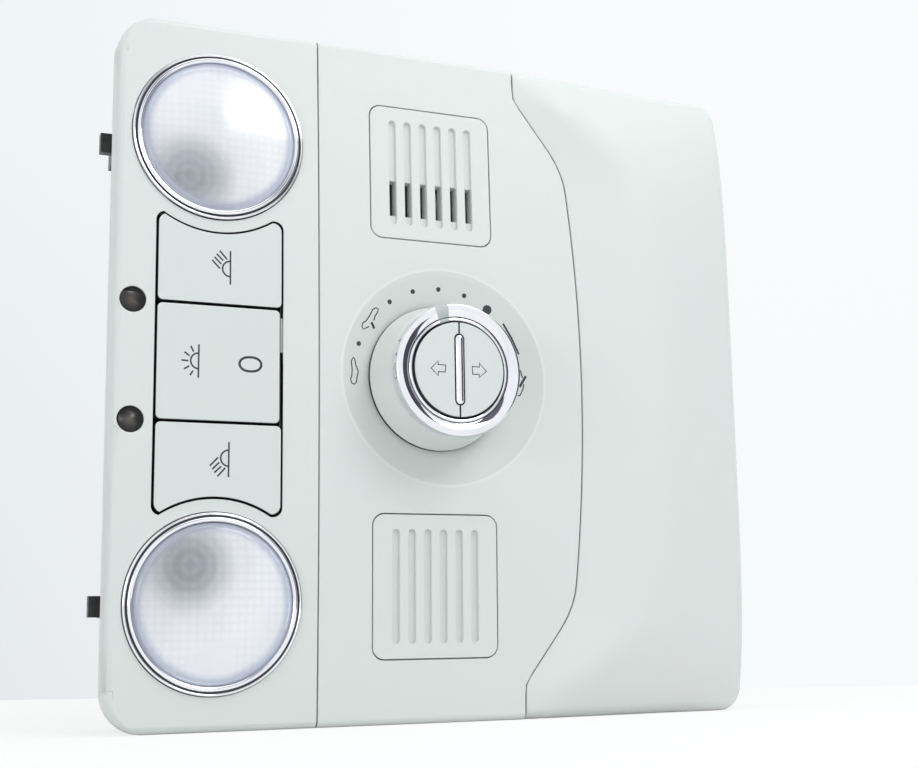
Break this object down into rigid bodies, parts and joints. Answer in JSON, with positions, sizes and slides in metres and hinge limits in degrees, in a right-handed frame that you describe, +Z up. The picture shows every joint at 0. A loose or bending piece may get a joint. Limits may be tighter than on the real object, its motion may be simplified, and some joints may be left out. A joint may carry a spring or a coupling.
{
  "type": "car interior roof console light",
  "caption": "Roof console light for a car: ringed reading lamps, push buttons round a rocker, turning roof dial with split push face, slotted grilles, front cover with a wave-shaped seam",
  "frame": {"origin": "middle of the base of the whole console as it stands on its long lower edge, at floor height", "axes": "X runs to the right across the face as seen by the viewer, +Y runs from the face into the roof, Z runs up the face"},
  "size_m": [0.182, 0.0572, 0.18],
  "materials": {
    "shell_plastic": "fine matt grain, pale cool grey",
    "button_plastic": "satin, pale cool grey",
    "trim_chrome": "polished",
    "lamp_lens": "clear moulded lens",
    "reflector_metallised": "metallised bowl",
    "bulb_glass": "clear glass",
    "housing_plastic": "off-white moulding",
    "black_plastic": "black moulding",
    "ambient_glass": "dark tinted lens",
    "steel": "zinc plated",
    "spring_steel": "dark spring steel",
    "contact_brass": "bright pins",
    "board": "green circuit board",
    "carrier_plastic": "dark grey moulding",
    "pointer_plastic": "grey insert"
  },
  "bodies": {
    "console": {"lamp_panel": "shell_plastic", "centre_panel": "shell_plastic", "front_cover": "shell_plastic", "upper_lamp_ring": "trim_chrome", "lower_lamp_ring": "trim_chrome", "upper_lamp_lens": "lamp_lens", "lower_lamp_lens": "lamp_lens", "upper_reflector": "reflector_metallised", "lower_reflector": "reflector_metallised", "upper_bulb": "bulb_glass", "lower_bulb": "bulb_glass", "upper_bulb_holder": "housing_plastic", "lower_bulb_holder": "housing_plastic", "rocker_pin": "steel", "button_frame": "black_plastic", "upper_ambient_lens": "ambient_glass", "lower_ambient_lens": "ambient_glass", "ambient_lamps": "housing_plastic", "circuit_board": "board", "upper_push_switch": "black_plastic", "lower_push_switch": "black_plastic", "rocker_switches": "black_plastic", "lamp_housing": "housing_plastic", "edge_clips": "spring_steel", "lamp_socket_pins": "contact_brass", "housing_screws": "steel", "dial_core": "black_plastic", "shade_bar": "trim_chrome", "dial_switch_housing": "black_plastic", "dial_socket_pins": "contact_brass", "dial_screws": "steel", "microphone_grille": "shell_plastic", "blind_grille": "shell_plastic", "microphone_holder": "black_plastic", "microphone": "steel", "rear_carrier": "carrier_plastic", "carrier_screws": "steel"},
    "upper_button": {"upper_light_button": "button_plastic"},
    "lower_button": {"lower_light_button": "button_plastic"},
    "rocker": {"centre_rocker": "button_plastic"},
    "dial": {"knob_skirt": "shell_plastic", "knob_ring": "trim_chrome", "knob_pointer": "pointer_plastic", "dial_rotor": "black_plastic"},
    "left_shade": {"left_shade_button": "button_plastic"},
    "right_shade": {"right_shade_button": "button_plastic"}
  },
  "joints": [
    {"name": "upper_button_push", "type": "slide", "parent": "console", "child": "upper_button", "axis": [0, 1, 0], "range_m": [0, 0.0012], "stiffness_N_per_m": 900},
    {"name": "lower_button_push", "type": "slide", "parent": "console", "child": "lower_button", "axis": [0, 1, 0], "range_m": [0, 0.0012], "stiffness_N_per_m": 900},
    {"name": "rocker_tilt", "type": "hinge", "parent": "console", "child": "rocker", "pos_m": [-0.0629, -0.0088, 0.09], "axis": [0, 0, 1], "range_deg": [-3.5, 3.5]},
    {"name": "dial_turn", "type": "hinge", "parent": "console", "child": "dial", "pos_m": [-0.0039, -0.0134, 0.0893], "axis": [0, 1, 0], "range_deg": [-71, 106]},
    {"name": "left_shade_push", "type": "slide", "parent": "console", "child": "left_shade", "axis": [0, 1, 0], "range_m": [0, 0.0008], "stiffness_N_per_m": 900},
    {"name": "right_shade_push", "type": "slide", "parent": "console", "child": "right_shade", "axis": [0, 1, 0], "range_m": [0, 0.0008], "stiffness_N_per_m": 900}
  ]
}
